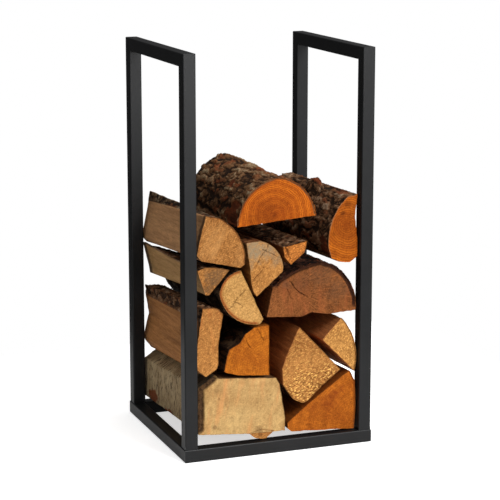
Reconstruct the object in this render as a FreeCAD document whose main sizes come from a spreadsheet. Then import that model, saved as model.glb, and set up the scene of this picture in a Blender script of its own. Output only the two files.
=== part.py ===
import FreeCAD, Part
import os

import Sketcher

# Firewood log rack: a square steel base, two upright side frames of the same tube, and its load of
# split logs.  Millimetres, +Z up, front towards -Y, origin at the middle of the footprint on the floor.

os.makedirs("parts", exist_ok=True)
doc = FreeCAD.newDocument("LogRack")
V = FreeCAD.Vector

DIMS = {
    "rack_width": 303.0,      # outer width of the base
    "rack_depth": 281.0,      # outer depth of the base
    "rack_height": 610.0,     # floor to the top of the side frames
    "tube": 20.0,             # outer side of the square tube
    "tube_wall": 1.5,
    "tube_round": 2.0,        # outer corner radius of the tube
    "post_inset": 0.8,        # how far the base stands proud of the side frames
    "pad_side": 19.2,         # corner pad between base and post
    "pad_height": 4.5,
    "bolt_hole": 6.6,
    "access_hole": 13.0,      # tool hole under each corner bolt
    "plate_side": 16.6,       # threaded plate in the foot of each post
    "plate_height": 5.0,
    "thread": 6.1,
    "shank": 5.8,
    "head": 10.5,
    "head_height": 3.2,
    "socket": 4.0,
    "bolt_length": 12.0,
    "weld_leg": 4.0,
    "log_front": 131.0,       # front ends of the logs, ahead of the middle
    "log_length": 268.0,
}
STEEP, MIDDLING, GENTLE = 21.44, 17.5, 13.0    # how much lower the back ends of the stacked logs lie

sheet = doc.addObject("Spreadsheet::Sheet", "dims")
for row, (alias, value) in enumerate(DIMS.items(), start=1):
    sheet.set("A%d" % row, alias)
    sheet.set("B%d" % row, str(value))
    sheet.setAlias("B%d" % row, alias)
doc.recompute()

X, Y, Z = V(1, 0, 0), V(0, 1, 0), V(0, 0, 1)
exports = []


def origin_plane(body, role):
    """The body's own origin plane with this role."""
    return next(f for f in body.Origin.OriginFeatures if f.Role == role)


def new_body(name):
    body = doc.addObject("PartDesign::Body", name)
    body.Label = name
    exports.append(body)
    return body


def new_sketch(body, role, lift=0.0):
    sketch = body.newObject("Sketcher::SketchObject", body.Name + "_sketch")
    sketch.AttachmentSupport = [(origin_plane(body, role), "")]
    sketch.MapMode = "FlatFace"
    sketch.AttachmentOffset = FreeCAD.Placement(V(0, 0, lift), FreeCAD.Rotation())
    return sketch


def new_feature(body, kind, sketch):
    feature = body.newObject("PartDesign::" + kind, body.Name + "_" + kind)
    feature.Profile = sketch
    return feature


def place(feature, turn, **bound):
    """Turn a feature and bind its position to the sheet, one expression for each axis."""
    feature.Placement = FreeCAD.Placement(V(0, 0, 0), turn)
    for axis, expression in bound.items():
        feature.setExpression("Placement.Base." + axis, expression)


def centred_square(sketch, size, expression):
    """A square about the sketch origin, its side bound to the sheet."""
    first = sketch.GeometryCount
    half = size / 2
    ends = [V(-half, -half), V(half, -half), V(half, half), V(-half, half)]
    for i in range(4):
        sketch.addGeometry(Part.LineSegment(ends[i], ends[(i + 1) % 4]))
    for i in range(4):
        sketch.addConstraint(Sketcher.Constraint("Coincident", first + i, 2, first + (i + 1) % 4, 1))
    for i in (0, 2):
        sketch.addConstraint(Sketcher.Constraint("Horizontal", first + i))
        sketch.addConstraint(Sketcher.Constraint("Vertical", first + i + 1))
    sketch.addConstraint(Sketcher.Constraint("Symmetric", first, 1, first + 2, 1, -1, 1))
    sketch.addConstraint(Sketcher.Constraint("Equal", first, first + 1))
    side = sketch.addConstraint(Sketcher.Constraint("DistanceX", first, 1, first, 2, size))
    sketch.setExpression("Constraints[%d]" % side, expression)


def circle(sketch, x, y, size, expression):
    """A hole outline, its diameter bound to the sheet."""
    index = sketch.addGeometry(Part.Circle(V(x, y, 0), Z, size / 2))
    constraint = sketch.addConstraint(Sketcher.Constraint("Diameter", index, size))
    sketch.setExpression("Constraints[%d]" % constraint, expression)
    return index


def mitre(body, length, both_ends):
    """Cut the ends of a tube lying along the body's Z at 45 degrees, long side towards -X."""
    half = DIMS["tube"] / 2
    sketch = new_sketch(body, "XZ_Plane")
    corners = [[V(-half, length, 0), V(half, length, 0), V(half, length - 2 * half, 0)]]
    if both_ends:
        corners.append([V(-half, 0, 0), V(half, 0, 0), V(half, 2 * half, 0)])
    for points in corners:
        for i in range(3):
            sketch.addGeometry(Part.LineSegment(points[i], points[(i + 1) % 3]))
    pocket = new_feature(body, "Pocket", sketch)
    pocket.Type = "ThroughAll"
    pocket.Midplane = True


def hole_pair(body, length, alias, reverse):
    """A round hole through one wall of a base bar, below or above both of its corners."""
    half = DIMS["tube"] / 2
    sketch = new_sketch(body, "XZ_Plane")
    for along in (half + DIMS["post_inset"], length - half - DIMS["post_inset"]):
        circle(sketch, DIMS["post_inset"], along, DIMS[alias], "dims." + alias)
    pocket = new_feature(body, "Pocket", sketch)
    pocket.Type = "ThroughAll"
    pocket.Reversed = reverse


def tube(name, turn, length, expression, both_ends, **bound):
    """Square tube along the body's Z with rounded outer edges and mitred ends."""
    body = new_body(name)
    sketch = new_sketch(body, "XY_Plane")
    inner = DIMS["tube"] - 2 * DIMS["tube_wall"]
    centred_square(sketch, DIMS["tube"], "dims.tube")
    centred_square(sketch, inner, "dims.tube - 2 * dims.tube_wall")
    pad = new_feature(body, "Pad", sketch)
    pad.Length = length
    pad.setExpression("Length", expression)
    doc.recompute()
    reach = DIMS["tube"] / 2 - 0.01
    outer = [
        "Edge%d" % (i + 1)
        for i, edge in enumerate(pad.Shape.Edges)
        if edge.Length > length - 0.01 and min(abs(edge.CenterOfMass.x), abs(edge.CenterOfMass.y)) > reach
    ]
    fillet = body.newObject("PartDesign::Fillet", name + "_Fillet")
    fillet.Base = (pad, outer)
    fillet.Radius = DIMS["tube_round"]
    fillet.setExpression("Radius", "dims.tube_round")
    mitre(body, length, both_ends)
    place(body, turn, **bound)
    return body


def axes(x, y, z):
    return FreeCAD.Rotation(x, y, z, "ZXY")


# --- Base: four mitred bars -------------------------------------------------------------------

width, depth = DIMS["rack_width"], DIMS["rack_depth"]
BARS = [
    ("base_front_bar", axes(Y, Z, X), width, "dims.rack_width",
     "-dims.rack_width / 2", "-dims.rack_depth / 2 + dims.tube / 2"),
    ("base_back_bar", axes(-Y, Z, -X), width, "dims.rack_width",
     "dims.rack_width / 2", "dims.rack_depth / 2 - dims.tube / 2"),
    ("base_left_bar", axes(X, Z, -Y), depth, "dims.rack_depth",
     "-dims.rack_width / 2 + dims.tube / 2", "dims.rack_depth / 2"),
    ("base_right_bar", axes(-X, Z, Y), depth, "dims.rack_depth",
     "dims.rack_width / 2 - dims.tube / 2", "-dims.rack_depth / 2"),
]
for name, turn, length, expression, at_x, at_y in BARS:
    bar = tube(name, turn, length, expression, True, x=at_x, y=at_y, z="dims.tube / 2")
    hole_pair(bar, length, "bolt_hole", False)
    hole_pair(bar, length, "access_hole", True)

# --- Side frames: two posts and a top bar each ------------------------------------------------

post_length = DIMS["rack_height"] - DIMS["tube"] - DIMS["pad_height"]
top_length = depth - 2 * DIMS["post_inset"]
CENTRE_X = "(dims.rack_width / 2 - dims.post_inset - dims.tube / 2)"
CENTRE_Y = "(dims.rack_depth / 2 - dims.post_inset - dims.tube / 2)"
for side, sign in (("left", "-1"), ("right", "1")):
    for end, across, facing in (("front", "-1", Y), ("back", "1", -Y)):
        tube(
            "%s_%s_post" % (side, end), axes(facing, Z.cross(facing), Z), post_length,
            "dims.rack_height - dims.tube - dims.pad_height", False,
            x="%s * %s" % (sign, CENTRE_X), y="%s * %s" % (across, CENTRE_Y),
            z="dims.tube + dims.pad_height",
        )
    tube(
        side + "_top_bar", axes(-Z, -X, Y), top_length, "dims.rack_depth - 2 * dims.post_inset", True,
        x="%s * %s" % (sign, CENTRE_X), y="-dims.rack_depth / 2 + dims.post_inset",
        z="dims.rack_height - dims.tube / 2",
    )

# --- Corner pads between base and posts -------------------------------------------------------

for side, sign in (("left", "-1"), ("right", "1")):
    for end, across in (("front", "-1"), ("back", "1")):
        body = new_body("%s_%s_pad" % (side, end))
        sketch = new_sketch(body, "XY_Plane")
        centred_square(sketch, DIMS["pad_side"], "dims.pad_side")
        circle(sketch, 0, 0, DIMS["bolt_hole"], "dims.bolt_hole")
        pad = new_feature(body, "Pad", sketch)
        pad.Length = DIMS["pad_height"]
        pad.setExpression("Length", "dims.pad_height")
        place(
            body, FreeCAD.Rotation(), x="%s * %s" % (sign, CENTRE_X),
            y="%s * %s" % (across, CENTRE_Y), z="dims.tube",
        )


# --- Small steel pieces, one group of like pieces for each ------------------------------------

def solid(kind, name, **bound):
    """A Part primitive with its sizes bound to the sheet."""
    shape = doc.addObject("Part::" + kind, name)
    for prop, expression in bound.items():
        shape.setExpression(prop, expression)
    return shape


def group(name, pieces):
    compound = doc.addObject("Part::Compound", name)
    compound.Label = name
    compound.Links = pieces
    exports.append(compound)


def cut(name, base, tool):
    result = doc.addObject("Part::Cut", name)
    result.Base = base
    result.Tool = tool
    return result


bolts, plates, frame_welds, base_welds = [], [], [], []
number = 0
for sx in (-1, 1):
    for sy in (-1, 1):
        number += 1
        tag = "_%d" % number
        at = {"x": "%d * %s" % (sx, CENTRE_X), "y": "%d * %s" % (sy, CENTRE_Y)}
        square = {"x": at["x"] + " - dims.plate_side / 2", "y": at["y"] + " - dims.plate_side / 2"}

        shank = solid("Cylinder", "shank" + tag, Radius="dims.shank / 2", Height="dims.bolt_length")
        place(shank, FreeCAD.Rotation(), z="dims.tube - dims.tube_wall", **at)
        head = solid("Cylinder", "head" + tag, Radius="dims.head / 2", Height="dims.head_height")
        place(head, FreeCAD.Rotation(), z="dims.tube - dims.tube_wall - dims.head_height", **at)
        socket = solid("Prism", "socket" + tag, Circumradius="dims.socket / 1.732", Height="2")
        place(socket, FreeCAD.Rotation(), z="dims.tube - dims.tube_wall - dims.head_height", **at)
        joined = doc.addObject("Part::Fuse", "screw" + tag)
        joined.Base = head
        joined.Tool = shank
        bolts.append(cut("bolt" + tag, joined, socket))

        block = solid("Box", "block" + tag, Length="dims.plate_side", Width="dims.plate_side",
                      Height="dims.plate_height")
        place(block, FreeCAD.Rotation(), z="dims.tube + dims.pad_height", **square)
        bore = solid("Cylinder", "bore" + tag, Radius="dims.thread / 2", Height="dims.plate_height")
        place(bore, FreeCAD.Rotation(), z="dims.tube + dims.pad_height", **at)
        plates.append(cut("plate" + tag, block, bore))

        # Weld runs: a wedge in the inner angle of each corner, with a hollow face.
        for store, name, width_of, turn, spot in (
            (frame_welds, "frame_run", "dims.tube - 6", axes(-Y * sy, -Z, X * sy),
             {"x": at["x"] + " - %d * (dims.tube - 6) / 2" % sy,
              "y": at["y"] + " - %d * dims.tube / 2" % sy, "z": "dims.rack_height - dims.tube"}),
            (base_welds, "base_run", "dims.tube - 5", axes(-X * sx, -Y * sy, Z * sx * sy),
             {"x": "%d * (dims.rack_width / 2 - dims.tube)" % sx,
              "y": "%d * (dims.rack_depth / 2 - dims.tube)" % sy,
              "z": "dims.tube / 2 - %d * (dims.tube - 5) / 2" % (sx * sy)}),
        ):
            wedge = solid("Box", name + tag, Length="dims.weld_leg", Width="dims.weld_leg", Height=width_of)
            place(wedge, turn, **spot)
            scoop = solid("Cylinder", name + "_scoop" + tag, Radius="dims.weld_leg * 1.02", Height=width_of)
            offset = turn.multVec(V(DIMS["weld_leg"], DIMS["weld_leg"], 0))
            moved = {
                axis: "%s + %d * dims.weld_leg" % (spot[axis], round(getattr(offset, axis) / DIMS["weld_leg"]))
                for axis in "xyz"
            }
            place(scoop, turn, **moved)
            store.append(cut(name + "_weld" + tag, wedge, scoop))

group("frame_bolts", bolts)
group("post_foot_plates", plates)
group("frame_corner_welds", frame_welds)
group("base_corner_welds", base_welds)

# --- Logs --------------------------------------------------------------------------------------
# Each log is its outline at the front, x across and z up, and its outline or shift at the back.
# Two numbers are the next corner; four are a middle point of an arc and then the arc's end.

LOGS = {
    "log_top_half": ([(-66.5, 350), (62, 360), (43, 403, 2, 423), (-46, 401, -66.5, 350)],
                     [(-48, 330), (66, 338), (53, 394, 14, 422), (-34, 396, -48, 330)]),
    "log_top_right": ([(97, 286.5), (116, 283.5), (129.5, 293), (129, 322), (125, 354), (129, 390),
                       (113, 388), (88, 357, 80, 308), (85, 293)],
                      [(97, 272), (116, 269), (129.5, 280), (129, 314), (125, 346), (129, 382),
                       (113, 380), (80, 345, 71, 306), (80, 285)]),
    "log_upper_left": ([(-60, 289), (-52.5, 294), (-51.5, 309), (-64, 342, -94, 368), (-114, 372),
                        (-120, 352), (-129, 312), (-121, 303), (-77, 293)],
                       [(-60, 268), (-52.5, 273), (-51.5, 290), (-64, 324, -94, 354), (-114, 366),
                        (-120, 335), (-129, 291), (-121, 282), (-77, 272)]),
    "log_small_left": ([(-109, 251.5), (-97, 264.5), (-85, 278), (-76, 288.5), (-92, 293), (-115, 296),
                        (-128.5, 291), (-115, 251.5)],
                       [(-109, 230), (-97, 243), (-85, 256.5), (-76, 265), (-92, 271), (-115, 277.5),
                        (-128.5, 286), (-115, 230)]),
    "log_pale_half": ([(-22.5, 208.5), (-58.5, 286), (-84.5, 273.5, -93.5, 252), (-71, 214, -29, 200.5)],
                      (0, -STEEP)),
    "log_grey_quarter": ([(-34, 243), (8, 278), (9, 287), (0, 310, -28, 328.5), (-51, 327), (-45, 284),
                          (-43, 264), (-39, 250)], (0, -MIDDLING)),
    "log_wedge": ([(21, 287), (31, 296), (43, 305), (48, 324), (7, 317), (9.5, 301)], (0, -GENTLE)),
    "log_big_half": ([(-19, 210.5), (38, 205.5), (54, 211), (83, 206.5), (128, 208.5), (129, 214),
                      (116, 260, 72, 291), (28, 281, -9, 257)],
                     [(-19, 197.5), (38, 192.5), (54, 198), (83, 193.5), (128, 195.5), (129, 201),
                      (115, 252, 72, 281), (30, 271, -9, 244)]),
    "log_slab": ([(-115, 127), (-98, 137), (-94.5, 145), (-94.5, 175), (-86.5, 221),
                  (-93, 230.5, -103, 234.5), (-121, 234.5), (-128.8, 178), (-128.8, 139)],
                 [(-115, 106), (-98, 115.5), (-94.5, 124), (-94.5, 153), (-86.5, 200),
                  (-93, 209, -103, 213), (-127, 213), (-119, 165), (-128.8, 125)]),
    "log_orange": ([(-63, 124.5), (-13, 119.5), (-13.5, 199.5), (-39, 197), (-53, 188.5), (-61, 175.5),
                    (-78, 167), (-82, 156), (-87, 131.5)], (0, -STEEP)),
    "log_kite": ([(41, 70.5), (49, 72.5), (73, 94.5), (104, 118.5), (35, 192), (26, 175), (6, 129),
                  (8.5, 102), (26, 77.5)], (0, -GENTLE)),
    "log_moon": ([(127, 111.5), (129.3, 130), (124.2, 168, 104, 200.5), (72, 168)], (0, -GENTLE)),
    "log_beige": ([(-128, 38), (-44, 31), (13, 30), (13, 52), (9, 75), (3.5, 106), (-2, 116.5),
                   (-94, 124), (-101, 130.5), (-128, 112)],
                  [(-128, 27), (-44, 21), (13, 21), (13, 40), (9, 60), (3.5, 84.5), (-2, 94.5),
                   (-94, 102.5), (-101, 109), (-128, 91)]),
    "log_wedge_low": ([(22, 27), (127, 21), (129.5, 60), (128, 97), (119, 116), (93, 99), (55, 73),
                       (15.5, 43), (15.5, 33)],
                      [(38, 22), (127, 21), (129.5, 50), (128, 82), (119, 101), (93, 77.5), (62, 55),
                       (33, 34), (33, 27)]),
}
# Knot stubs: the outline and how far behind the front end each one starts and stops.
KNOTS = {
    "log_beige": ([(-48, 33), (-38, 24), (-28, 21.2, -18, 22), (-4, 33)], 0.0, 46.0),
    "log_top_right": ([(92, 355), (101, 388), (106, 397), (117, 398), (125, 378), (125, 355)], 106.0, 142.0),
}


def outline(sketch, points):
    """Close the outline through the points, straight or by arcs, and join the ends that meet."""
    at = points[0]
    steps = points[1:] if points[-1][-2:] == at else points[1:] + [at]
    for step in steps:
        a, b = V(at[0], at[1], 0), V(step[-2], step[-1], 0)
        if len(step) == 4:
            sketch.addGeometry(Part.Arc(a, V(step[0], step[1], 0), b))
        else:
            sketch.addGeometry(Part.LineSegment(a, b))
        at = step[-2:]
    for i, step in enumerate(steps):
        joint = V(step[-2], step[-1], 0)
        following = (i + 1) % len(steps)
        sides = [
            1 if sketch.Geometry[n].StartPoint.distanceToPoint(joint) < 0.001 else 2
            for n in (i, following)
        ]
        sketch.addConstraint(Sketcher.Constraint("Coincident", i, sides[0], following, sides[1]))


def moved_by(points, shift):
    return [tuple(value + shift[i % 2] for i, value in enumerate(p)) for p in points]


for name, (front, back) in LOGS.items():
    body = new_body(name)
    behind = moved_by(front, back) if isinstance(back, tuple) else back
    near = new_sketch(body, "XZ_Plane", 0.0)
    outline(near, front)
    far = new_sketch(body, "XZ_Plane", -DIMS["log_length"])
    far.setExpression(".AttachmentOffset.Base.z", "-dims.log_length")
    outline(far, behind)
    loft = new_feature(body, "AdditiveLoft", near)
    loft.Sections = [far]
    loft.Ruled = True
    if name in KNOTS:
        shape, start, stop = KNOTS[name]
        knot = new_sketch(body, "XZ_Plane", -start)
        outline(knot, shape)
        stub = new_feature(body, "Pad", knot)
        stub.Length = stop - start
        stub.Reversed = True
    place(body, FreeCAD.Rotation(), y="-dims.log_front")

doc.recompute()

# --- Check and export ---------------------------------------------------------------------------

for item in doc.Objects:
    if any(word in item.State for word in ("Invalid", "Error")):
        raise RuntimeError("%s: %s" % (item.Name, item.State))
for item in exports:
    shape = item.Shape
    if shape.isNull() or not shape.isValid() or not shape.Solids:
        raise RuntimeError(item.Label + ": no valid solid")
    shape.exportStep("parts/%s.step" % item.Label)
    box = shape.BoundBox
    print("%-20s %d solid(s) %9.0f mm3  x %.1f..%.1f  y %.1f..%.1f  z %.1f..%.1f" % (
        item.Label, len(shape.Solids), shape.Volume,
        box.XMin, box.XMax, box.YMin, box.YMax, box.ZMin, box.ZMax,
    ))
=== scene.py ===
import math

import bpy
import numpy as np
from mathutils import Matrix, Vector


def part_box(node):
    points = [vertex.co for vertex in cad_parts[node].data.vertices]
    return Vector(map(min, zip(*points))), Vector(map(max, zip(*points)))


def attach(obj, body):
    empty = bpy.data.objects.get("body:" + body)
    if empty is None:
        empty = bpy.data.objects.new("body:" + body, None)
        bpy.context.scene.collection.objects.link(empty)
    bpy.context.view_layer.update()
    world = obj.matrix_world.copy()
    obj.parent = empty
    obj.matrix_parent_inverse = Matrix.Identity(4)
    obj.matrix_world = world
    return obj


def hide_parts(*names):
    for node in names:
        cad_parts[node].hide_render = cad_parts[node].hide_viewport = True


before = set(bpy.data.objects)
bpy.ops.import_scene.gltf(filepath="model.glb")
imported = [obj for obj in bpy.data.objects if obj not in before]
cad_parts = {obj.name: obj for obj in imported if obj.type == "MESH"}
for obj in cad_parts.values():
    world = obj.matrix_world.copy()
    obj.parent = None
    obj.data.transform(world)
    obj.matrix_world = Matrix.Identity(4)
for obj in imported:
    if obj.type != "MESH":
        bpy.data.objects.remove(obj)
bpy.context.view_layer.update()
MM = 0.001

# --- Noise over a surface: u runs across a piece and v along it --------------------------------


def random_at(i, j, seed):
    """A repeatable number from 0 to 1 for each whole-number cell."""
    mask = 0xFFFFFFFF
    h = (i.astype(np.int64) * 374761393 + j.astype(np.int64) * 668265263 + seed * 974634777) & mask
    h = ((h ^ (h >> 13)) * 1274126177) & mask
    return ((h ^ (h >> 16)) & 0xFFFFFF) / 0xFFFFFF


def smooth_noise(u, v, seed):
    i, j = np.floor(u), np.floor(v)
    a, b = u - i, v - j
    a, b = a * a * (3 - 2 * a), b * b * (3 - 2 * b)
    low = random_at(i, j, seed) * (1 - a) + random_at(i + 1, j, seed) * a
    high = random_at(i, j + 1, seed) * (1 - a) + random_at(i + 1, j + 1, seed) * a
    return low * (1 - b) + high * b


def layered_noise(u, v, seed, layers=4):
    """Noise from 0 to 1 with finer and fainter layers."""
    total, weight, size = 0, 0, 1.0
    for n in range(layers):
        total = total + smooth_noise(u * size, v * size, seed + 17 * n) / size
        weight += 1 / size
        size *= 2
    return total / weight


def plates(u, v, seed):
    """Uneven cells: the distance to the nearest joint between them, and each cell's number."""
    i, j = np.floor(u), np.floor(v)
    first, second = np.full(u.shape, 9.0), np.full(u.shape, 9.0)
    number = np.zeros(u.shape)
    for di in (-1, 0, 1):
        for dj in (-1, 0, 1):
            ci, cj = i + di, j + dj
            du = ci + 0.15 + 0.7 * random_at(ci, cj, seed) - u
            dv = cj + 0.15 + 0.7 * random_at(ci, cj, seed + 5) - v
            far = np.hypot(du, dv)
            nearer = far < first
            second = np.where(nearer, first, np.minimum(second, far))
            number = np.where(nearer, random_at(ci, cj, seed + 9), number)
            first = np.where(nearer, far, first)
    return second - first, number


def ramp(low, high, value):
    t = np.clip((value - low) / (high - low), 0, 1)
    return t * t * (3 - 2 * t)


def flaky(u, v, seed, flake):
    """Flaky bark: its height from 0 to 1 and a tone from 0 to 1 for each flake."""
    wide, tall = flake
    across = (u + 16 * (layered_noise(u / 17, v / 17, seed + 3, 3) - 0.5)) / wide
    along = (v + 20 * (layered_noise(u / 14, v / 14, seed + 4, 3) - 0.5)) / tall
    level = 12 * layered_noise(across, along, seed + 5, 4)
    shelf = np.floor(level)
    terrace = (shelf + ramp(0.45, 1.0, level - shelf)) / 12
    furrow = 1 - ramp(0.0, 0.22, np.abs(2 * layered_noise(across * 0.7, along * 0.45, seed + 7, 3) - 1))
    crumb = layered_noise(u / 3.5, v / 4.5, seed + 31, 3)
    joint, tone = plates(across * 1.1, along * 1.1, seed + 11)
    height = 0.75 * np.clip((terrace - 0.3) / 0.4, 0, 1) + 0.3 * crumb - 0.6 * furrow
    height = height - 0.4 * (1 - ramp(0.02, 0.16, joint))
    return np.clip(height, 0, 1), tone


# --- Shader building ----------------------------------------------------------------------------


class Shader:
    """A small helper around one material's node tree."""

    def __init__(self, name):
        self.material = bpy.data.materials.new(name)
        self.material.use_nodes = True
        self.tree = self.material.node_tree
        self.tree.nodes.clear()
        self.bsdf = self.node("ShaderNodeBsdfPrincipled")
        output = self.node("ShaderNodeOutputMaterial")
        self.link(self.bsdf.outputs["BSDF"], output.inputs["Surface"])
        self.place = self.node("ShaderNodeTexCoord").outputs["Object"]

    def node(self, kind, **values):
        made = self.tree.nodes.new(kind)
        for key, value in values.items():
            setattr(made, key, value)
        return made

    def link(self, source, target):
        self.tree.links.new(source, target)

    def feed(self, target, value):
        if hasattr(value, "is_output"):
            self.link(value, target)
        else:
            target.default_value = value

    def math(self, operation, a, b=0.0):
        made = self.node("ShaderNodeMath", operation=operation)
        self.feed(made.inputs[0], a)
        self.feed(made.inputs[1], b)
        return made.outputs[0]

    def vector(self, operation, a, b):
        made = self.node("ShaderNodeVectorMath", operation=operation)
        self.feed(made.inputs[0], a)
        self.feed(made.inputs[1], b)
        return made.outputs["Value" if operation == "LENGTH" else "Vector"]

    def dot(self, where, direction):
        made = self.node("ShaderNodeVectorMath", operation="DOT_PRODUCT")
        self.feed(made.inputs[0], where)
        self.feed(made.inputs[1], direction)
        return made.outputs["Value"]

    def combine(self, x, y, z=0.0):
        made = self.node("ShaderNodeCombineXYZ")
        for socket, value in zip(made.inputs, (x, y, z)):
            self.feed(socket, value)
        return made.outputs[0]

    def stretched(self, scale):
        return self.vector("MULTIPLY", self.place, scale)

    def turned(self, degrees, fine, coarse):
        """Face coordinates for streaks that run at an angle: fine across them, coarse along them."""
        c, d = math.cos(math.radians(degrees)), math.sin(math.radians(degrees))
        along = self.dot(self.place, (c * coarse, 0, d * coarse))
        return self.combine(along, self.dot(self.place, (-d * fine, 0, c * fine)))

    def noise(self, where, scale, detail=4.0, rough=0.55):
        made = self.node("ShaderNodeTexNoise")
        self.link(where, made.inputs["Vector"])
        made.inputs["Scale"].default_value = scale
        made.inputs["Detail"].default_value = detail
        made.inputs["Roughness"].default_value = rough
        return made.outputs["Fac"]

    def attribute(self, name):
        return self.node("ShaderNodeAttribute", attribute_name=name).outputs["Fac"]

    def span(self, value, low, high, to_low=0.0, to_high=1.0):
        made = self.node("ShaderNodeMapRange", clamp=True)
        self.feed(made.inputs["Value"], value)
        for key, number in zip(("From Min", "From Max", "To Min", "To Max"), (low, high, to_low, to_high)):
            made.inputs[key].default_value = number
        return made.outputs["Result"]

    def mix(self, factor, a, b):
        made = self.node("ShaderNodeMix", data_type="RGBA")
        self.feed(made.inputs[0], factor)
        self.feed(made.inputs[6], a if hasattr(a, "is_output") else (*a, 1.0))
        self.feed(made.inputs[7], b if hasattr(b, "is_output") else (*b, 1.0))
        return made.outputs[2]

    def bump(self, height, distance, strength=1.0):
        made = self.node("ShaderNodeBump")
        self.link(height, made.inputs["Height"])
        made.inputs["Distance"].default_value = distance
        made.inputs["Strength"].default_value = strength
        return made.outputs["Normal"]

    def finish(self, colour, roughness, normal, specular=0.3):
        self.link(colour, self.bsdf.inputs["Base Color"])
        self.feed(self.bsdf.inputs["Roughness"], roughness)
        self.link(normal, self.bsdf.inputs["Normal"])
        self.bsdf.inputs["Specular IOR Level"].default_value = specular
        return self.material


def srgb(*values):
    """A colour given in the 0 to 255 steps of a screen, as the light values a shader takes."""
    return tuple(((v / 255 + 0.055) / 1.055) ** 2.4 if v > 10 else v / 255 / 12.92 for v in values)


def scaled(colour, factor):
    return tuple(min(1.0, c * factor) for c in colour)


# --- Steel --------------------------------------------------------------------------------------


def powder_coat():
    """Satin anthracite powder coat: a fine orange-peel skin with faint mottling."""
    s = Shader("powder_coat")
    peel = s.noise(s.place, 900.0, 2.0)
    cloud = s.noise(s.place, 14.0, 3.0)
    grain = s.noise(s.place, 3200.0, 1.0)
    colour = s.mix(s.span(cloud, 0.35, 0.7), (0.0070, 0.0072, 0.0077), (0.0095, 0.0098, 0.0105))
    colour = s.mix(s.span(grain, 0.62, 0.75, 0.0, 0.3), colour, (0.026, 0.027, 0.029))
    rough = s.math("ADD", s.span(peel, 0.3, 0.7, 0.36, 0.44), s.span(cloud, 0.3, 0.7, -0.03, 0.03))
    return s.finish(colour, rough, s.bump(peel, 0.00010, 0.5), specular=0.24)


def weld_coat():
    """The same coat over a weld run, with its scale-like ripples."""
    s = Shader("coated_weld")
    ripple = s.noise(s.stretched((700.0, 700.0, 700.0)), 1.0, 2.0)
    colour = s.mix(s.span(ripple, 0.3, 0.7), (0.010, 0.0105, 0.011), (0.017, 0.0175, 0.019))
    return s.finish(colour, s.span(ripple, 0.3, 0.7, 0.40, 0.6), s.bump(ripple, 0.0008), specular=0.5)


def zinc_plate():
    s = Shader("zinc_plate")
    cloud = s.noise(s.place, 260.0, 4.0)
    colour = s.mix(cloud, (0.42, 0.43, 0.44), (0.62, 0.62, 0.6))
    s.bsdf.inputs["Metallic"].default_value = 1.0
    return s.finish(colour, s.span(cloud, 0.3, 0.7, 0.28, 0.42), s.bump(cloud, 0.0001), specular=0.5)


def dress_steel():
    coat, weld, zinc = powder_coat(), weld_coat(), zinc_plate()
    for name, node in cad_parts.items():
        if name.startswith("log_"):
            continue
        finish = zinc if name == "frame_bolts" else weld if name.endswith("welds") else coat
        node.data.materials.clear()
        node.data.materials.append(finish)


# --- Wood ---------------------------------------------------------------------------------------


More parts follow.
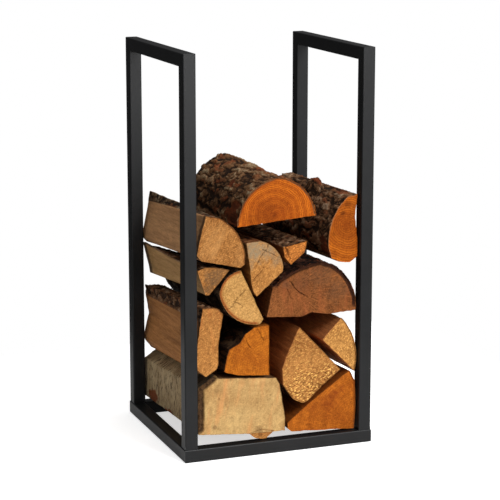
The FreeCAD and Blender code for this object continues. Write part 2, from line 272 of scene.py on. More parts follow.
def end_grain(name, look):
    """A sawn end: growth rings round the pith, rays, saw marks, torn fibres, stains and cracks."""
    s = Shader(name + "_end")
    light, dark = look["wood"]
    pith, ring = look["pith"], look.get("ring", 2.8)
    flat = s.vector("MULTIPLY", s.vector("SUBTRACT", s.place, (pith[0] * MM, 0.0, pith[1] * MM)), (1, 0, 1))
    radius = s.vector("LENGTH", flat, (0, 0, 0))
    sway = s.span(s.noise(flat, 22.0, 3.0), 0.0, 1.0, -0.008, 0.008)
    turns = s.math("MULTIPLY", s.math("ADD", radius, sway), math.tau / (ring * MM))
    rings = s.span(s.math("SINE", turns), -0.2, 1.0)
    broad = s.span(s.math("SINE", s.math("MULTIPLY", turns, 0.23)), -1.0, 1.0)
    split = s.node("ShaderNodeSeparateXYZ")
    s.link(flat, split.inputs[0])
    angle = s.math("ARCTAN2", split.outputs["Z"], split.outputs["X"])
    fan = s.combine(s.math("MULTIPLY", angle, 22.0), s.math("MULTIPLY", radius, 38.0))
    ray = s.noise(fan, 1.0, 5.0, 0.65)
    saw = s.noise(s.turned(look.get("saw", 62.0), 900.0, 90.0), 1.0, 4.0, 0.6)
    fuzz = s.noise(s.stretched((430.0, 430.0, 430.0)), 1.0, 5.0, 0.75)
    chip = s.noise(s.turned(look.get("grain", 25.0), 460.0, 210.0), 1.0, 3.0, 0.65)
    patch = s.noise(flat, 19.0, 5.0, 0.62)
    blotch = s.noise(flat, 85.0, 5.0, 0.7)
    torn = s.attribute("torn")
    gritty = look.get("gritty", 0.65)
    straw = scaled(light, look.get("chips", 1.85))
    colour = s.mix(s.span(patch, 0.38, 0.62), dark, light)
    colour = s.mix(s.span(blotch, 0.51, 0.66, 0.0, 0.55), colour, scaled(dark, 0.62))
    colour = s.mix(s.span(blotch, 0.47, 0.34, 0.0, 0.5), colour, scaled(light, 1.35))
    if "heart" in look:
        near, far = look["heart"]
        colour = s.mix(s.span(radius, near * MM, far * MM, 0.55, 0.0), colour, scaled(dark, 0.8))
        colour = s.mix(s.span(radius, near * MM, far * MM, 0.0, 0.75), colour, scaled(light, 1.6))
    colour = s.mix(s.math("MULTIPLY", rings, look.get("ringed", 0.3)), colour, scaled(dark, 0.66))
    colour = s.mix(s.math("MULTIPLY", broad, look.get("ringed", 0.3) * 0.7), colour, scaled(dark, 0.8))
    colour = s.mix(s.span(ray, 0.5, 0.7, 0.0, look.get("rays", 0.35)), colour, scaled(light, 1.5))
    colour = s.mix(s.span(saw, 0.5, 0.72, 0.0, 0.35), colour, scaled(dark, 0.62))
    colour = s.mix(s.span(fuzz, 0.52, 0.63, 0.0, 0.7 * gritty), colour, scaled(dark, 0.42))
    colour = s.mix(s.span(fuzz, 0.47, 0.36, 0.0, 0.65 * gritty), colour, scaled(light, 1.55))
    colour = s.mix(s.math("MULTIPLY", s.span(chip, 0.54, 0.66), torn), colour, straw)
    colour = s.mix(s.math("MULTIPLY", s.span(chip, 0.45, 0.34), torn), colour, scaled(dark, 0.22))
    if "streak" in look:
        tint, degrees, strength = look["streak"]
        run = s.noise(s.turned(degrees, 55.0, 11.0), 1.0, 5.0, 0.6)
        colour = s.mix(s.span(run, 0.5, 0.66, 0.0, strength), colour, tint)
    mottle = s.span(s.noise(s.place, 210.0, 4.0, 0.7), 0.38, 0.6)
    # Real stains on the end; along its outer edge this also carries the sides' painted shade.
    stain_and_shade = s.math("MULTIPLY", s.attribute("stain_and_shade"), s.span(mottle, 0.0, 1.0, 0.55, 1.0))
    colour = s.mix(stain_and_shade, colour, look.get("stained", scaled(dark, 0.32)))
    colour = s.mix(s.attribute("edge"), colour, look.get("edge", scaled(dark, 0.6)))
    husk = s.mix(s.span(fuzz, 0.35, 0.65), *look.get("husked", look["skin"][:2]))
    colour = s.mix(s.attribute("husk"), colour, husk)
    colour = s.mix(s.span(s.attribute("crack"), 0.0, 1.0, 0.0, 0.6), colour, scaled(dark, 0.18))
    height = s.math("ADD", fuzz, s.math("MULTIPLY", chip, s.span(torn, 0.0, 1.0, 0.4, 2.2)))
    height = s.math("ADD", height, s.math("MULTIPLY", saw, 0.4))
    return s.finish(colour, s.span(fuzz, 0.2, 0.8, 0.74, 0.94), s.bump(height, 0.0008, 0.9), specular=0.08)


def split_face(name, look):
    """A split side: fibres along the log, torn ridges and darker streaks."""
    s = Shader(name + "_split")
    # A look's own side colours are the split wood's, lightened as painted light for its shaded left side;
    # without them the end's colours are darkened.
    light, dark = look.get("side", [scaled(c, 0.72) for c in look["wood"]])
    fibre = s.noise(s.stretched((760.0, 40.0, 760.0)), 1.0, 5.0, 0.68)
    streak = s.noise(s.stretched((150.0, 8.0, 150.0)), 1.0, 5.0, 0.62)
    cross = s.noise(s.stretched((330.0, 330.0, 330.0)), 1.0, 4.0, 0.7)
    patch = s.noise(s.place, 16.0, 4.0, 0.6)
    colour = s.mix(s.span(streak, 0.25, 0.75), dark, light)
    colour = s.mix(s.span(fibre, 0.5, 0.72, 0.0, 0.6), colour, scaled(dark, 0.5))
    colour = s.mix(s.span(fibre, 0.46, 0.28, 0.0, 0.45), colour, scaled(light, 1.25))
    colour = s.mix(s.span(cross, 0.5, 0.68, 0.0, 0.5), colour, scaled(dark, 0.5))
    colour = s.mix(s.span(patch, 0.55, 0.75, 0.0, 0.4), colour, scaled(dark, 0.7))
    colour = s.mix(s.span(s.attribute("relief"), 0.75, 0.2, 0.0, 0.5), colour, scaled(dark, 0.4))
    # Painted shade: the split side is darkened over the log's shade stretches.
    colour = s.mix(s.attribute("stain_and_shade"), colour, look.get("stained", scaled(dark, 0.25)))
    normal = s.bump(s.math("ADD", fibre, s.math("MULTIPLY", streak, 0.5)), 0.0008, 0.85)
    return s.finish(colour, s.span(fibre, 0.2, 0.8, 0.7, 0.92), normal, specular=0.15)


def bark_skin(name, look):
    """Bark: dark furrows, brown flakes with paler weathered tops, and bare patches of inner bark."""
    s = Shader(name + "_bark")
    deep, mid, crust, inner = look["skin"]
    relief, tone, bare = s.attribute("relief"), s.attribute("tone"), s.attribute("bare")
    rough = s.noise(s.stretched((300.0, 240.0, 300.0)), 1.0, 6.0, 0.72)
    fine = s.noise(s.stretched((750.0, 600.0, 750.0)), 1.0, 4.0, 0.7)
    patch = s.noise(s.stretched((34.0, 26.0, 34.0)), 1.0, 4.0, 0.6)
    lift = s.math("ADD", relief, s.span(rough, 0.2, 0.8, -0.3, 0.3))
    colour = s.mix(s.span(lift, 0.12, 0.55), deep, mid)
    top = s.math("MULTIPLY", s.span(lift, 0.42, 0.7), s.span(s.math("ADD", tone, patch), 0.75, 1.25))
    colour = s.mix(top, colour, crust)
    colour = s.mix(s.span(s.math("SUBTRACT", patch, tone), 0.3, 0.5, 0.0, 0.7), colour, inner)
    colour = s.mix(s.span(fine, 0.56, 0.7, 0.0, 0.5), colour, scaled(deep, 0.5))
    colour = s.mix(s.span(fine, 0.42, 0.3, 0.0, 0.35), colour, scaled(crust, 1.3))
    wash = s.noise(s.stretched((120.0, 26.0, 120.0)), 1.0, 5.0, 0.65)
    naked = s.mix(s.span(wash, 0.4, 0.6), scaled(inner, 0.35), inner)
    colour = s.mix(bare, colour, naked)
    colour = s.mix(s.span(relief, 0.2, 0.04, 0.0, 0.9), colour, scaled(deep, 0.25))
    height = s.math("ADD", rough, s.math("MULTIPLY", fine, 0.5))
    return s.finish(colour, s.span(rough, 0.3, 0.7, 0.8, 0.96), s.bump(height, 0.0018, 0.9), specular=0.12)


def pale_skin(name, look):
    """Smooth weathered bark: pale grey with short dark marks and rusty patches where it has gone."""
    s = Shader(name + "_bark")
    deep, mid, crust, inner = look["skin"]
    marks = s.noise(s.stretched((75.0, 330.0, 75.0)), 1.0, 4.0, 0.62)
    cloud = s.noise(s.stretched((30.0, 40.0, 30.0)), 1.0, 5.0, 0.65)
    fine = s.noise(s.place, 620.0, 4.0, 0.7)
    colour = s.mix(s.span(cloud, 0.25, 0.7), mid, crust)
    colour = s.mix(s.span(marks, 0.52, 0.6, 0.0, 0.85), colour, deep)
    colour = s.mix(s.span(fine, 0.52, 0.68, 0.0, 0.5), colour, scaled(mid, 0.45))
    colour = s.mix(s.span(fine, 0.42, 0.3, 0.0, 0.4), colour, scaled(crust, 1.35))
    rust = s.mix(s.span(fine, 0.35, 0.65), inner, scaled(inner, 0.3))
    colour = s.mix(s.attribute("bare"), colour, rust)
    # Painted shade: the bark is darkened over the log's shade stretches.
    colour = s.mix(s.attribute("stain_and_shade"), colour, scaled(deep, 0.5))
    height = s.math("ADD", marks, s.math("MULTIPLY", fine, 0.6))
    return s.finish(colour, s.span(fine, 0.3, 0.7, 0.7, 0.9), s.bump(height, 0.0009, 0.8), specular=0.2)


# --- Log shapes ---------------------------------------------------------------------------------


def end_outline(name, y):
    """The corners of a log's flat end in the CAD solid, in order, as (x, z)."""
    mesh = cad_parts[name].data
    at = {v.index: (round(v.co.x, 6), round(v.co.z, 6)) for v in mesh.vertices if abs(v.co.y - y) < 1e-5}
    sides = {}
    for face in mesh.polygons:
        ring = list(face.vertices)
        if all(i in at for i in ring):
            for a, b in zip(ring, ring[1:] + ring[:1]):
                sides[(at[a], at[b])] = True
    follow = {a: b for a, b in sides if (b, a) not in sides and a != b}
    start = min(follow)
    loop, here = [start], follow[start]
    while here != start and here in follow:
        loop.append(here)
        here = follow[here]
    return np.array(loop)


def counter_clockwise(loop):
    x, z = loop[:, 0], loop[:, 1]
    area = np.sum(x * np.roll(z, -1) - np.roll(x, -1) * z)
    return loop if area > 0 else loop[::-1]


def begin_at(loop, point):
    nearest = int(np.argmin(np.hypot(*(loop - point).T)))
    return np.roll(loop, -nearest, axis=0)


def evenly(loop, count):
    """The closed loop as evenly spaced points, and each one's distance along it."""
    closed = np.vstack([loop, loop[:1]])
    length = np.concatenate([[0], np.cumsum(np.hypot(*np.diff(closed, axis=0).T))])
    at = np.arange(count) * length[-1] / count
    return np.column_stack([np.interp(at, length, closed[:, k]) for k in (0, 1)]), at


def outward(loop):
    run = np.roll(loop, -1, axis=0) - np.roll(loop, 1, axis=0)
    normal = np.column_stack([run[:, 1], -run[:, 0]])
    return normal / np.maximum(np.hypot(*normal.T), 1e-9)[:, None]


def soften(loop, passes):
    for _ in range(passes):
        loop = (np.roll(loop, 1, axis=0) + 2 * loop + np.roll(loop, -1, axis=0)) / 4
    return loop


def near_line(x, z, line, seed):
    """How far points lie off a line segment, with a shiver, how far past its ends, and where along it."""
    x0, z0, x1, z1 = line
    run = np.array([x1 - x0, z1 - z0])
    t = np.clip(((x - x0) * run[0] + (z - z0) * run[1]) / (run @ run), 0, 1)
    past = np.hypot(x - x0 - t * run[0], z - z0 - t * run[1])
    side = ((x - x0) * run[1] - (z - z0) * run[0]) / np.hypot(*run)
    shiver = (layered_noise(x / 9, z / 9, seed, 3) - 0.5) * 4
    return np.abs(side + shiver), past, t


def patches(x, z, spots, seed):
    """Soft ragged spots, each one (x, z, size, strength)."""
    total = np.zeros(x.shape)
    for sx, sz, size, strength in spots:
        far = np.hypot(x - sx, z - sz) / size + (layered_noise(x / 6, z / 6, seed, 3) - 0.5) * 0.9
        total = np.maximum(total, strength * (1 - ramp(0.3, 1.1, far)))
    return total


BARK_LIP = 0.4    # how much of its depth the bark relief has right at the front end


class Log:
    """One log: an even outline swept from its front end to its back end, then worn inwards."""

    STEP = 1.6 * MM         # between points round the outline
    ALONG = 2.0 * MM        # between rows along the log
    RIM_STEP = 0.8 * MM     # between rings near the edge of an end
    RIM_DEPTH = 10 * MM     # how far in those rings go
    CAP_STEP = 1.9 * MM     # between rings further in

    def __init__(self, node, piece, ends, reach, seed, look):
        self.node, self.piece, self.seed, self.look = node, piece, seed, look
        self.y0, self.y1 = reach
        front, back = (counter_clockwise(end) for end in ends)
        first, last = (np.array(corner) * MM for corner in look["bark"])
        front = begin_at(front, first)
        back = begin_at(back, first + back.mean(axis=0) - front.mean(axis=0))
        around = np.sum(np.hypot(*(front - np.roll(front, 1, axis=0)).T))
        self.count = int(around / self.STEP)
        front, self.along = evenly(front, self.count)
        back, _ = evenly(back, self.count)
        self.front, self.back = soften(front, 1), soften(back, 1)
        index = np.arange(self.count)
        end = int(np.argmin(np.hypot(*(self.front - last).T)))
        self.is_bark = (index <= end) | look.get("all_bark", False)
        gap = np.minimum(np.abs(index - end), np.minimum(index, self.count - index)) * self.STEP
        inside, outside = 0.5 + 0.5 * ramp(0, 4 * MM, gap), 0.5 - 0.5 * ramp(0, 2 * MM, gap)
        self.share = np.where(self.is_bark, inside, outside)
        if look.get("all_bark"):
            self.share = np.ones(self.count)

    def side_wear(self, base, y):
        """How far each side point is worn in, with the values its material needs."""
        look, seed = self.look, self.seed
        v = (y / MM)[:, None] + np.zeros(self.count)[None]
        u = (self.along / MM)[None] + 0 * v
        x, z = base[..., 0] / MM, base[..., 1] / MM
        bare = np.zeros(v.shape)
        for bx, by, bz, size in look.get("bare", ()):
            far = np.sqrt((x - bx) ** 2 + (0.6 * (v - by)) ** 2 + (z - bz) ** 2) / size
            far = far + (layered_noise(u / 9, v / 9, seed + 15, 3) - 0.5) * 1.1
            bare = np.maximum(bare, 1 - ramp(0.75, 0.95, far))
        height, tone = flaky(u, v, seed, look.get("flake", (9, 12)))
        height = height * (1 - bare) + bare * (0.18 + 0.12 * layered_noise(u / 6, v / 20, seed + 19, 3))
        front = ramp(0, 9, v - self.y0 / MM)
        depth = look["depth"] * MM * (BARK_LIP * (1 - front) + front)
        fibre = layered_noise(u / 3.2, v / 85, seed + 51, 4)
        ridge = np.abs(2 * layered_noise(u / 11, v / 130, seed + 61, 3) - 1)
        torn = MM * (0.6 * fibre + look.get("ridges", 1.0) * ridge)
        swell = MM * layered_noise(u / 38, v / 70, seed + 41, 2)
        share = self.share[None]
        wear = share * depth * (1 - height) + (1 - share) * torn + 0.7 * swell
        relief = share * height + (1 - share) * (1 - 0.6 * fibre - 0.5 * ridge)
        # The shade stretches are painted shade: they darken the side's colour over the stretches a look lists.
        stain_and_shade = np.zeros(v.shape)
        for y_from, y_to, z_from, z_to, strength in look.get("shade", ()):
            wobble = 9 * (layered_noise(u / 12, v / 12, seed + 23, 3) - 0.5)
            over = ramp(-2, 2, v + wobble - y_from) * ramp(-2, 2, y_to - v - wobble)
            over = over * ramp(-2, 2, z + wobble - z_from) * ramp(-2, 2, z_to - z - wobble)
            stain_and_shade = np.maximum(stain_and_shade, strength * over)
        values = {"relief": relief, "tone": tone, "bare": bare, "stain_and_shade": stain_and_shade}
        return np.maximum(wear, 0.1 * MM), values

    def end_cap(self, outer, worn, sign):
        """Rings of points from the worn outline to the middle of an end, their depths and their values."""
        look, seed = self.look, self.seed
        centre = outer.mean(axis=0)
        reach = np.hypot(*(outer - centre).T)
        rim_rings = int(min(self.RIM_DEPTH, 0.45 * reach.min()) / self.RIM_STEP)
        close = [self.RIM_STEP * k for k in range(1, rim_rings + 1)]
        inner = outer + (centre - outer) * (close[-1] / reach)[:, None]
        coarse = max(5, int(reach.max() / self.CAP_STEP))
        rings = [outer + (centre - outer) * (d / reach)[:, None] for d in close]
        rings += [inner + (centre - inner) * k / coarse for k in range(1, coarse)]
        deep = close + [close[-1] + (reach.max() - close[-1]) * k / coarse for k in range(1, coarse)]
        points = np.array(rings)
        deep = np.array(deep)[:, None] / MM
        x, z = points[..., 0] / MM, points[..., 1] / MM
        along = (self.along / MM)[None]
        thick = look.get("rim", 1.5) * (0.8 + 0.4 * layered_noise(along / 14, 0 * along, seed + 5, 3))
        under = deep + worn[None] / MM
        husk = (1 - ramp(thick - 0.6, thick + 0.5, under)) * self.share[None]
        line = np.exp(-(((under - thick - 0.6) / look.get("line", 0.7)) ** 2)) * self.share[None]
        if look.get("all_bark"):
            husk, line = np.ones(x.shape), np.zeros(x.shape)
        rough = 0.7 * layered_noise(x / 7, z / 7, seed + 71, 4)
        rough = rough + 1.2 * layered_noise(x / 40, z / 40, seed + 81, 2)
        torn = look.get("torn", 0.3) + patches(x, z, look.get("rough", ()), seed + 95)
        tear = torn * 1.6 * layered_noise(x / 3, z / 3, seed + 75, 3)
        ragged = husk * look.get("ragged", 1.0) * (0.3 + 1.6 * layered_noise(x / 4, z / 4, seed + 85, 3))
        crack, stain_and_shade = np.zeros(x.shape), np.zeros(x.shape)
        if sign > 0:
            for x0, z0, x1, z1, width in look.get("cracks", ()):
                off, past, t = near_line(x, z, (x0, z0, x1, z1), seed + 91)
                taper = width * (0.35 + 0.65 * np.sin(np.pi * np.clip(t, 0.02, 0.98)))
                crack = np.maximum(crack, (1 - ramp(0.4 * taper, taper + 0.6, off)) * (past < 3))
            stain_and_shade = patches(x, z, look.get("stains", ()), seed + 97)
        inward = (rough + tear + ragged + 2.2 * crack + look.get("groove", 0.5) * line) * MM
        edge = line * look.get("edged", 0.6)
        values = {"crack": crack, "stain_and_shade": stain_and_shade, "husk": husk, "edge": edge, "torn": torn}
        return points, inward, values, centre

    def build(self, materials):
        rows = int((self.y1 - self.y0) / self.ALONG)
        y = np.linspace(self.y0, self.y1, rows + 1)
        t = ((y - self.y0) / (self.y1 - self.y0))[:, None, None]
        base = self.front[None] * (1 - t) + self.back[None] * t
        if self.look.get("domed"):
            swell = np.sqrt(np.clip(1 - (2 * t - 1) ** 2, 0.02, 1))
            foot = np.array([base[0, :, 0].mean(), base[0, :, 1].min()])
            base = foot + (base - foot) * (0.45 + 0.55 * swell)
        wear, side_values = self.side_wear(base, y)
        flat = base - outward(soften(self.front, 6))[None] * wear[..., None]
        keys = ("relief", "tone", "bare", "stain_and_shade", "crack", "husk", "edge", "torn")
        verts = [np.stack([flat[..., 0], y[:, None] + 0 * wear, flat[..., 1]], axis=-1).reshape(-1, 3)]
        values = {key: [np.ravel(side_values.get(key, np.zeros(wear.shape)))] for key in keys}
        n = self.count
        i = np.arange(n)
        quads, slots = [], []
        for row in range(rows):
            here, beyond = row * n, (row + 1) * n
            after = np.roll(i, -1)
            quads.append(np.column_stack([here + i, here + after, beyond + after, beyond + i]))
            slots.append(np.where(self.is_bark, 2, 1))
        fans, total = [], (rows + 1) * n
        for sign, row in ((1, 0), (-1, rows)):
            points, inward, cap_values, centre = self.end_cap(flat[row], wear[row], sign)
            end = y[row]
            cap = np.stack([points[..., 0], end + sign * inward, points[..., 1]], axis=-1).reshape(-1, 3)
            verts += [cap, np.array([[centre[0], end + sign * inward[-1].mean(), centre[1]]])]
            for key in keys:
                grid = cap_values.get(key, 1.0 if key == "relief" else 0.0) + np.zeros(inward.shape)
                values[key] += [grid.ravel(), np.array([grid[-1].mean()])]
            outer = row * n + i
            for ring in range(len(points)):
                inner = total + ring * n + i
                quad = np.column_stack([outer, inner, np.roll(inner, -1), np.roll(outer, -1)])
                quads.append(quad if sign > 0 else quad[:, ::-1])
                slots.append(np.zeros(n, int))
                outer = inner
            hub = np.full(n, total + len(points) * n)
            fan = np.column_stack([outer, hub, np.roll(outer, -1)])
            fans.append(fan if sign > 0 else fan[:, ::-1])
            total = hub[0] + 1
        mesh = self.mesh_from(np.vstack(verts), np.vstack(quads), np.vstack(fans))
        slots = np.concatenate(slots + [np.zeros(2 * n, int)])
        mesh.polygons.foreach_set("material_index", slots.astype(np.int32))
        for key, grids in values.items():
            field = mesh.attributes.new(key, "FLOAT", "POINT")
            field.data.foreach_set("value", np.concatenate(grids).astype(np.float32))
        for material in materials:
            mesh.materials.append(material)
        mesh.shade_smooth()
        made = bpy.data.objects.new(self.piece, mesh)
        bpy.context.scene.collection.objects.link(made)
        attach(made, self.node)
        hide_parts(self.node)
        return made

    def mesh_from(self, verts, quads, fans):
        mesh = bpy.data.meshes.new(self.piece)
        mesh.vertices.add(len(verts))
        mesh.vertices.foreach_set("co", verts.ravel().astype(np.float32))
        corners = np.concatenate([quads.ravel(), fans.ravel()]).astype(np.int32)
        mesh.loops.add(len(corners))
        mesh.loops.foreach_set("vertex_index", corners)
        sizes = np.concatenate([np.full(len(quads), 4), np.full(len(fans), 3)])
        mesh.polygons.add(len(sizes))
        mesh.polygons.foreach_set("loop_start", (np.cumsum(sizes) - sizes).astype(np.int32))
        mesh.update(calc_edges=True)
        return mesh


# Colours of the woods, each light and dark, and of the barks: furrow, flake, weathered top, inner bark.
GLOW = (srgb(174, 92, 21), srgb(142, 60, 11))
EMBER = (srgb(162, 86, 19), srgb(130, 56, 9))
ORANGE = (srgb(186, 108, 29), srgb(148, 76, 17))
AMBER = (srgb(176, 98, 27), srgb(138, 68, 15))
HONEY = (srgb(184, 128, 68), srgb(148, 94, 46))
TAN = (srgb(190, 134, 72), srgb(142, 90, 42))
DUSK = (srgb(180, 124, 66), srgb(132, 82, 38))
STRAW = (srgb(196, 149, 88), srgb(161, 117, 62))
CREAM = (srgb(190, 156, 102), srgb(162, 124, 76))
BROWN = (srgb(134, 80, 41), srgb(88, 49, 23))
PINE_BARK = (srgb(70, 45, 27), srgb(118, 82, 52), srgb(154, 130, 100), srgb(122, 60, 30))
FIR_BARK = (srgb(76, 50, 31), srgb(124, 88, 60), srgb(158, 130, 104), srgb(130, 66, 36))
RED_BARK = (srgb(34, 18, 12), srgb(74, 42, 28), srgb(108, 82, 64), srgb(96, 44, 24))
THIN_BARK = (srgb(64, 34, 18), srgb(118, 70, 38), srgb(146, 100, 62), srgb(128, 64, 30))
# PALE_BARK is the pale bark's colour, lightened as painted light for the shaded left side of log_beige that it
# covers.
PALE_BARK = (srgb(54, 40, 28), srgb(134, 108, 74), srgb(192, 168, 128), srgb(140, 74, 34))

# Each log's looks. Lengths are in millimetres, and places are (x, z) on its front end unless it says more.
#   bark            where the bark begins and ends, counter-clockwise; the rest of the side is split wood
#   skin, husked    colours of the bark outside, and cut through at an end
#   depth, flake    how deep the bark's relief is, and the size of a flake across and along the log
#   smooth          pale smooth bark in place of flaky bark
#   bare            spots where the bark has come off, each (x, y, z, size)
#   rim, ragged     thickness of the bark at an end, and how ragged it is there
#   line, groove    width and depth of the seam between bark and wood; edge, edged: its colour and strength
#   wood, side      colours of the ends and of the split sides; the side colours given are lightened as painted light for the shaded left sides
#   pith, heart     where the growth rings centre, and from which radius to which the wood gets paler
#   ring, ringed    width and strength of the rings; rays: strength of the rays across them
#   torn, rough     how torn the fibres are, all over and in spots (x, z, size, strength)
#   grain, saw      angles of the torn fibres and of the saw marks; gritty: strength of the fine grain
#   chips           how pale the torn fibres are
#   streak          colour, angle and strength of streaks on the ends; ridges: height of those on the sides
#   cracks          cracks on the front end, each (x, z, x, z, width)
#   stains, stained  spots (x, z, size, strength) on the front end, and their colour, which also paints the
#   shade stretches on the split sides
#   shade           stretches of the side darkened as painted shade, each (from y, to y, from z, to z, strength)
LOGS = {
    "log_top_half": dict(
        bark=[(62, 360), (-66, 350)], depth=4.4, flake=(9, 26), rim=4.2, pith=(-6, 364), heart=(4, 58),
        wood=GLOW, skin=PINE_BARK, gritty=0.5, ring=2.7, ringed=0.85, rays=0.35, torn=0.1, saw=100,
        edge=srgb(104, 44, 18), edged=0.7,
        stains=[(-6, 366, 5, 0.7), (-22, 368, 26, 0.35), (-40, 360, 16, 0.3), (10, 380, 12, 0.2)],
        bare=[(-66, -108, 356, 19), (-62, -84, 362, 15), (-60, -98, 378, 11), (-40, -30, 402, 7),
              (20, -70, 416, 6)]),
    "log_top_right": dict(
        bark=[(129, 390), (85, 293)], depth=3.6, flake=(8, 22), rim=2.0, pith=(112, 340), heart=(4, 50),
        wood=EMBER, skin=FIR_BARK, gritty=0.5, ring=3.4, ringed=0.7, rays=0.25, torn=0.1, saw=80,
        edge=srgb(150, 116, 84), edged=0.6,
        stains=[(105, 361, 5, 0.75), (113, 374, 6, 0.5), (90, 330, 5, 0.4), (92, 300, 8, 0.3)],
        bare=[(84, -118, 304, 13), (82, -105, 318, 9)]),
    "log_upper_left": dict(
        bark=[(-52, 300), (-111, 372)], depth=1.4, flake=(9, 14), rim=1.6, pith=(-90, 290), wood=DUSK,
        husked=THIN_BARK[:2],
        skin=(srgb(60, 42, 28), srgb(108, 84, 60), srgb(140, 122, 98), srgb(110, 62, 34)), ring=2.8,
        ringed=0.65, rays=0.35, torn=0.35, grain=55, saw=57, edge=srgb(122, 66, 30),
        side=(srgb(222, 168, 116), srgb(188, 136, 92)), shade=[(-140, -119, 296, 380, 0.85)],
        streak=(srgb(194, 142, 84), 57, 0.45), ridges=0.6),
    "log_small_left": dict(
        bark=[(-76, 288), (-128, 290)], depth=2.4, flake=(8, 12), rim=1.0, pith=(-128, 262), wood=DUSK,
        skin=FIR_BARK, ring=2.4, torn=0.5, side=(srgb(212, 166, 110), srgb(176, 132, 82)), ridges=0.5,
        stained=srgb(84, 68, 50),
        stains=[(-100, 276, 20, 0.75), (-88, 288, 14, 0.6), (-112, 260, 10, 0.6)],
        shade=[(122, 140, 200, 300, 0.8)]),
    "log_pale_half": dict(
        bark=[(-58, 286), (-30, 201)], depth=1.2, flake=(6, 14), rim=4.4, pith=(-66, 240), wood=STRAW,
        husked=(srgb(100, 52, 24), srgb(158, 92, 44)), ring=2.4,
        skin=(srgb(38, 27, 19), srgb(70, 52, 38), srgb(96, 80, 62), srgb(74, 46, 28)), ringed=0.2,
        edge=srgb(180, 116, 58), edged=0.5, torn=0.25, ragged=0.4, line=1.4,
        cracks=[(-76, 230, -54, 254, 0.1), (-68, 238, -58, 232, 0.05)]),
    "log_grey_quarter": dict(
        bark=[(9, 287), (-51, 327)], depth=1.6, flake=(9, 14), rim=1.0, pith=(-50, 266), wood=TAN,
        skin=THIN_BARK, ring=2.8, torn=0.25, edge=srgb(180, 150, 110), stained=srgb(134, 122, 98),
        stains=[(-38, 314, 26, 0.8), (-14, 312, 20, 0.7), (-2, 296, 12, 0.5), (-44, 296, 14, 0.4)],
        cracks=[(-36, 290, -14, 322, 0.15), (-22, 314, 2, 300, 0.1), (-44, 262, -24, 286, 0.2)]),
    "log_wedge": dict(
        bark=[(47, 323), (8, 316)], depth=2.6, flake=(6, 9), rim=1.6, pith=(22, 292),
        wood=(srgb(192, 120, 54), srgb(150, 86, 36)), skin=FIR_BARK, ring=2.2, torn=0.6,
        stained=srgb(84, 46, 20), stains=[(14, 308, 7, 0.4)],
        cracks=[(11, 318, 20, 300, 1.0), (12, 314, 26, 320, 0.5)]),
    "log_big_half": dict(
        bark=[(129, 214), (-9, 257)], depth=3.6, flake=(8, 11), rim=6.0, pith=(22, 250), wood=BROWN,
        skin=RED_BARK, gritty=0.8, ring=2.4, ringed=0.3, rays=0.75, streak=(srgb(146, 78, 42), 90, 0.45),
        torn=0.25, groove=3.0, line=1.2, ragged=2.4, edge=srgb(26, 14, 8), edged=0.95, saw=88,
        stained=srgb(84, 60, 42),
        stains=[(70, 268, 26, 0.45), (98, 244, 24, 0.45), (40, 262, 20, 0.3), (12, 258, 10, 0.5)],
        cracks=[(20, 262, 36, 243, 0.3), (36, 243, 48, 236, 0.1), (14, 258, 22, 236, 0.1)]),
    "log_slab": dict(
        bark=[(-87, 222), (-127, 214)], depth=3.6, flake=(7, 7), rim=2.8, pith=(-150, 180), wood=HONEY,
        skin=FIR_BARK, ring=3.0, torn=0.35, saw=85, streak=(srgb(170, 92, 44), 84, 0.45),
        side=(srgb(204, 140, 82), srgb(160, 106, 60)), shade=[(-140, -120, 120, 222, 0.6)]),
    "log_orange": dict(
        bark=[(-30, 199), (-87, 132)], gritty=0.5, depth=0.6, flake=(10, 26), rim=1.3, pith=(-6, 128),
        wood=ORANGE, skin=(srgb(40, 26, 15), srgb(66, 46, 30), srgb(84, 64, 44), srgb(70, 42, 24)),
        ring=3.6, torn=0.15, ringed=0.4, edge=srgb(90, 44, 20), saw=78,
        cracks=[(-34, 196, -24, 178, 0.2), (-54, 184, -46, 168, 0.15)]),
    "log_kite": dict(
        bark=[(8, 102), (41, 70)], depth=1.2, flake=(8, 12), rim=1.0, pith=(60, 150), wood=DUSK,
        skin=THIN_BARK, ring=2.8, torn=0.35, grain=20, rough=[(44, 94, 36, 1.0), (82, 114, 18, 0.8)],
        chips=2.9, saw=72, ringed=0.2, side=(srgb(206, 128, 70), srgb(142, 80, 40))),
    "log_moon": dict(
        bark=[(127, 112), (104, 200)], depth=1.4, flake=(8, 14), rim=1.6, pith=(78, 170),
        wood=(srgb(198, 144, 78), srgb(152, 100, 48)), skin=THIN_BARK, ring=2.6, torn=0.55, grain=60,
        saw=60, side=(srgb(216, 140, 82), srgb(156, 92, 50))),
    "log_beige": dict(
        bark=[(-101, 130), (-128, 38)], gritty=0.35, depth=1.2, flake=(14, 40), rim=10.0, pith=(-52, 76),
        wood=CREAM, skin=PALE_BARK, smooth=True,
        shade=[(-140, -84, 104, 150, 0.9), (-140, -118, 30, 150, 0.9)], ring=6.0, ringed=0.06, rays=0.15,
        torn=0.12, saw=88, ragged=3.0, husked=(srgb(30, 20, 13), srgb(92, 66, 42)),
        streak=(srgb(212, 140, 84), 80, 0.45), stained=srgb(84, 56, 34),
        stains=[(-101, 48, 4, 0.7), (-12, 89, 2.5, 0.8), (-94, 92, 2.5, 0.7), (-75, 120, 3, 0.6),
                (-30, 36, 8, 0.5), (-98, 104, 5, 0.35), (2, 96, 5, 0.3)],
        bare=[(-128, -125, 44, 10), (-128, 90, 36, 16), (-128, -60, 100, 9), (-128, 10, 30, 12)]),
    "log_wedge_low": dict(
        bark=[(127, 21), (120, 114)], gritty=0.5, depth=1.6, flake=(9, 14), rim=1.8, pith=(140, 20),
        wood=AMBER, skin=THIN_BARK, ring=3.4, ringed=0.35, torn=0.15, saw=75, stained=srgb(112, 44, 12),
        stains=[(92, 78, 12, 0.7), (84, 68, 16, 0.5), (104, 88, 8, 0.35), (60, 60, 8, 0.25)]),
}

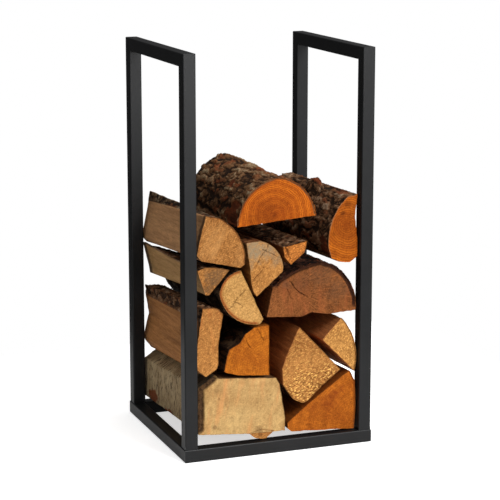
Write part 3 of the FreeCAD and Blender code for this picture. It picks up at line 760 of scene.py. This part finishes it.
# The knot stubs in the CAD: their corners, and how far back from the log's front end each one begins and ends.
# all_bark puts bark all round, and domed rounds the stub off along its length.
KNOTS = {
    "log_beige": dict(
        corners=[(-48, 33), (-38, 24), (-33, 22), (-28, 21.2), (-22, 21.2), (-18, 22), (-4, 33),
                 (-26, 38)],
        reach=(0, 46), bark=[(-26, 38), (-48, 33)], depth=0.8, flake=(8, 12), wood=HONEY, skin=THIN_BARK,
        pith=(-28, 30), rim=0.5, ring=2.0, edge=srgb(112, 62, 30), edged=0.9, line=1.2,
        stained=srgb(96, 54, 28), stains=[(-27, 29, 5, 0.8)]),
    "log_top_right": dict(
        corners=[(92, 356), (97, 378), (102, 390), (107, 396.5), (117, 397.5), (121, 388), (125, 376),
                 (125, 356)],
        reach=(98, 150), bark=[(124, 368), (98, 368)], depth=3.0, flake=(6, 7), wood=GLOW, skin=FIR_BARK,
        pith=(110, 380), rim=0.5, all_bark=True, domed=True, bare=[(110, -16, 397, 10)]),
}

SEED_STEP = 101             # between the seeds of two pieces
FIRST_KNOT = 31             # the knots' seeds start here, after the logs' own
KNOT_TOP = 29.9 * MM        # log_beige's corners under this height belong to its knot


def dress(node, piece, ends, reach, seed, look):
    skin = pale_skin if look.get("smooth") else bark_skin
    materials = [end_grain(piece, look), split_face(piece, look), skin(piece, look)]
    made = Log(node, piece, ends, reach, seed, look).build(materials)


def build_logs():
    for seed, (name, look) in enumerate(LOGS.items(), start=1):
        low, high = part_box(name)
        front, back = end_outline(name, low.y), end_outline(name, high.y)
        if name == "log_beige":
            front = front[front[:, 1] > KNOT_TOP]
        dress(name, name + "_wood", (front, back), (low.y, high.y), SEED_STEP * seed, look)
    for seed, (name, look) in enumerate(KNOTS.items(), start=FIRST_KNOT):
        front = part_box(name)[0].y
        outline = np.array(look["corners"]) * MM
        reach = tuple(front + part * MM for part in look["reach"])
        dress(name, name + "_knot", (outline, outline), reach, SEED_STEP * seed, look)


# --- Floor, light and camera --------------------------------------------------------------------


WHITE = (1.0, 1.0, 1.0, 1.0)
FLOOR_SIDE = 1.1
FLOOR_GLOW = (0.1, 0.6)                 # for reflections and bounced light, and for the camera
BRIGHT_SIDE = (0.50, -0.75, 0.43)       # the sky is brightest this way: right, front and above
SKY = (0.06, 0.78)                      # its darkest and brightest light
LAMPS = (                               # name, place, target, side, watts
    ("key", (0.9, -2.2, 2.1), (0, 0, 0.35), 0.9, 62.0),
    ("top", (-0.2, 0.2, 2.6), (0, 0, 0.2), 1.6, 14.0),
    ("sheen", (0.35, -1.5, 0.62), (0, 0, 0.62), 0.5, 7.0),
)


def pale_floor():
    """A white floor that the camera sees brighter than the dark steel reflects it."""
    bpy.ops.mesh.primitive_plane_add(size=FLOOR_SIDE, location=(0, 0, 0))
    floor = bpy.context.object
    floor.name = "studio_floor"
    s = Shader("studio_floor")
    cloud = s.noise(s.place, 3.0, 2.0)
    s.bsdf.inputs["Emission Color"].default_value = WHITE
    path = s.node("ShaderNodeLightPath")
    glow = s.span(path.outputs["Is Camera Ray"], 0.0, 1.0, *FLOOR_GLOW)
    s.link(glow, s.bsdf.inputs["Emission Strength"])
    colour = s.mix(cloud, (0.90, 0.90, 0.90), (0.92, 0.92, 0.92))
    floor.data.materials.append(s.finish(colour, 0.9, s.bump(cloud, 0.0001), specular=0.1))


def sky():
    """White where the camera sees it, and a soft gradient of light from one side for everything else."""
    world = bpy.data.worlds.new("studio")
    bpy.context.scene.world = world
    world.use_nodes = True
    tree = world.node_tree
    seen = tree.nodes["Background"]
    seen.inputs["Color"].default_value = WHITE
    seen.inputs["Strength"].default_value = 1.0
    where = tree.nodes.new("ShaderNodeTexCoord")
    facing = tree.nodes.new("ShaderNodeVectorMath")
    facing.operation = "DOT_PRODUCT"
    facing.inputs[1].default_value = BRIGHT_SIDE
    tree.links.new(where.outputs["Generated"], facing.inputs[0])
    soft = tree.nodes.new("ShaderNodeMapRange")
    for key, number in zip(("From Min", "From Max", "To Min", "To Max"), (-0.5, 1.0, *SKY)):
        soft.inputs[key].default_value = number
    tree.links.new(facing.outputs["Value"], soft.inputs["Value"])
    lit = tree.nodes.new("ShaderNodeBackground")
    lit.inputs["Color"].default_value = WHITE
    tree.links.new(soft.outputs["Result"], lit.inputs["Strength"])
    path = tree.nodes.new("ShaderNodeLightPath")
    both = tree.nodes.new("ShaderNodeMixShader")
    tree.links.new(path.outputs["Is Camera Ray"], both.inputs[0])
    tree.links.new(lit.outputs[0], both.inputs[1])
    tree.links.new(seen.outputs[0], both.inputs[2])
    tree.links.new(both.outputs[0], tree.nodes["World Output"].inputs["Surface"])


def lamps():
    for name, place, target, side, watts in LAMPS:
        lamp = bpy.data.lights.new(name, "AREA")
        lamp.size = side
        lamp.energy = watts
        light = bpy.data.objects.new(name, lamp)
        light.location = place
        light.visible_camera = False
        light.rotation_euler = (Vector(target) - Vector(place)).to_track_quat("-Z", "Y").to_euler()
        bpy.context.scene.collection.objects.link(light)


EYE = (-0.982, -2.607, 0.877)
DOWN, TURN = 11.97, 20.73               # degrees that the camera looks down and is turned to the right


def camera():
    """Seen from the front left and a little above, with a long lens."""
    lens = bpy.data.cameras.new("camera")
    lens.sensor_width = 36.0
    lens.lens = 131.8
    eye = bpy.data.objects.new("camera", lens)
    eye.location = EYE
    eye.rotation_euler = (math.radians(90 - DOWN), 0.0, math.radians(-TURN))
    bpy.context.scene.collection.objects.link(eye)
    bpy.context.scene.camera = eye
    bpy.context.scene.view_settings.view_transform = "Standard"


dress_steel()
build_logs()
pale_floor()
sky()
lamps()
camera()
